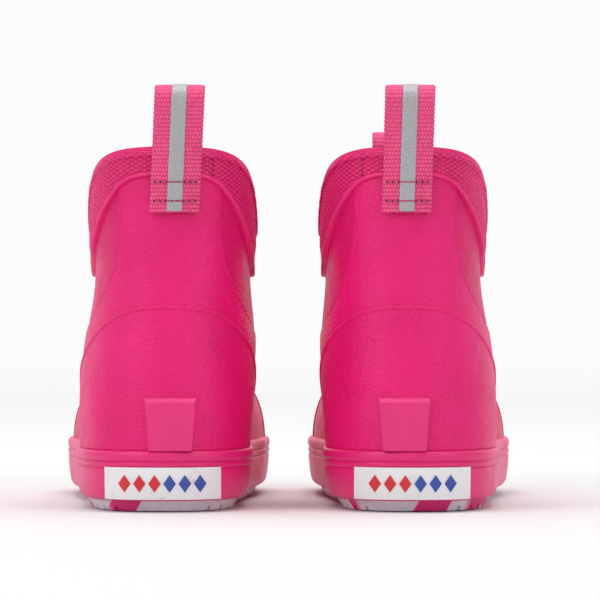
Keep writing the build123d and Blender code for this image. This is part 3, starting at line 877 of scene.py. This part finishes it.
for side in sides:
    pad = bpy.data.objects.new(f"{side}_footbed_pad", nodes[f"{side}_footbed"].data.copy())
    pad.data.name = pad.name
    bpy.context.scene.collection.objects.link(pad)
    select_only(pad)
    remesh = pad.modifiers.new("remesh", "REMESH")
    remesh.mode = "VOXEL"
    remesh.voxel_size = 1.2 * mm
    bpy.ops.object.modifier_apply(modifier="remesh")
    low = min(v.co.z for v in pad.data.vertices)
    high = max(v.co.z for v in pad.data.vertices)
    heel_end = min(v.co.y for v in pad.data.vertices)
    mirror_sign = side_sign[side]
    for vertex in pad.data.vertices:
        rise = (vertex.co.z - low) / (high - low)
        cup = max(0.0, abs(vertex.co.x - mirror_sign * heel_x) / mm - 10) ** 1.5 * 0.018
        near_heel = 1 - smooth_step(vertex.co.y, heel_end + 30 * mm, heel_end + 110 * mm)
        vertex.co.z += rise * cup * (0.35 + 0.65 * near_heel) * mm
    relax = pad.modifiers.new("relax", "SMOOTH")
    relax.iterations = 6
    bpy.ops.object.modifier_apply(modifier="relax")
    bpy.ops.object.shade_smooth()
    dress(pad, footbed_knit)
    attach(pad, f"{side}_insole")
    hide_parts(f"{side}_footbed")

# ---------------------------------------------------------------- floor, light and camera

bpy.ops.object.select_all(action="DESELECT")
bpy.ops.mesh.primitive_plane_add(size=8, location=(0, 0, -0.0004))
floor = bpy.context.object
floor.name = "pale_floor"
material, tree, shader, coords = new_material("pale floor paper")
tone = blend_colors(tree, noise(tree, coords, 3, 2), (0.75, 0.75, 0.75), (0.77, 0.77, 0.77))
tree.links.new(tone, shader.inputs["Base Color"])
shader.inputs["Roughness"].default_value = 0.85
shader.inputs["Specular IOR Level"].default_value = 0.2
place = tree.nodes.new("ShaderNodeSeparateXYZ")
tree.links.new(coords.outputs["Object"], place.inputs["Vector"])
# Painted light: the floor glows, more strongly the further back it lies, so its far part reads white.
far = ramp(tree, place.outputs["Y"], 0.2, 2.4)
glow = arithmetic(tree, "MULTIPLY", arithmetic(tree, "POWER", far, 0.55), 0.32)
shader.inputs["Emission Color"].default_value = (1.0, 1.0, 1.0, 1)
tree.links.new(glow, shader.inputs["Emission Strength"])
floor.data.materials.append(material)

bpy.ops.object.select_all(action="DESELECT")
bpy.ops.mesh.primitive_plane_add(size=8, location=(0, 3.2, 2.0), rotation=(math.radians(90), 0, 0))
backdrop = bpy.context.object
backdrop.name = "white_backdrop"
material, tree, shader, coords = new_material("lit white backdrop")
shader.inputs["Base Color"].default_value = (0.0, 0.0, 0.0, 1)
shader.inputs["Emission Color"].default_value = (1.0, 1.0, 1.0, 1)
shader.inputs["Emission Strength"].default_value = 0.94
backdrop.data.materials.append(material)

world = bpy.data.worlds.new("studio white")
bpy.context.scene.world = world
world.use_nodes = True
world.node_tree.nodes["Background"].inputs["Color"].default_value = (1.0, 1.0, 1.0, 1)
world.node_tree.nodes["Background"].inputs["Strength"].default_value = 0.58
bpy.context.scene.view_settings.view_transform = "Standard"


def soft_light(name, place, size, power, target):
    light = bpy.data.lights.new(name, "AREA")
    light.shape = "RECTANGLE"
    light.size, light.size_y = size
    light.energy = power
    obj = bpy.data.objects.new(name, light)
    bpy.context.scene.collection.objects.link(obj)
    obj.location = place
    obj.rotation_euler = (Vector(target) - Vector(place)).to_track_quat("-Z", "Y").to_euler()


soft_light("overhead_softbox", (0.0, -0.1, 1.5), (1.4, 1.2), 14, (0, 0, 0.05))
soft_light("left_softbox", (-1.2, -1.1, 0.9), (1.0, 1.0), 8, (0, -0.1, 0.06))
soft_light("right_softbox", (1.2, -1.1, 0.7), (0.8, 0.9), 4, (0, -0.1, 0.06))

camera = bpy.data.cameras.new("camera")
camera.lens = 245
camera.sensor_width = 36
camera.clip_start = 0.05
camera_object = bpy.data.objects.new("camera", camera)
camera_object.location = (0.0046, -1.611, 0.0780)
camera_object.rotation_euler = (math.radians(90), 0, 0)
bpy.context.scene.collection.objects.link(camera_object)
bpy.context.scene.camera = camera_object
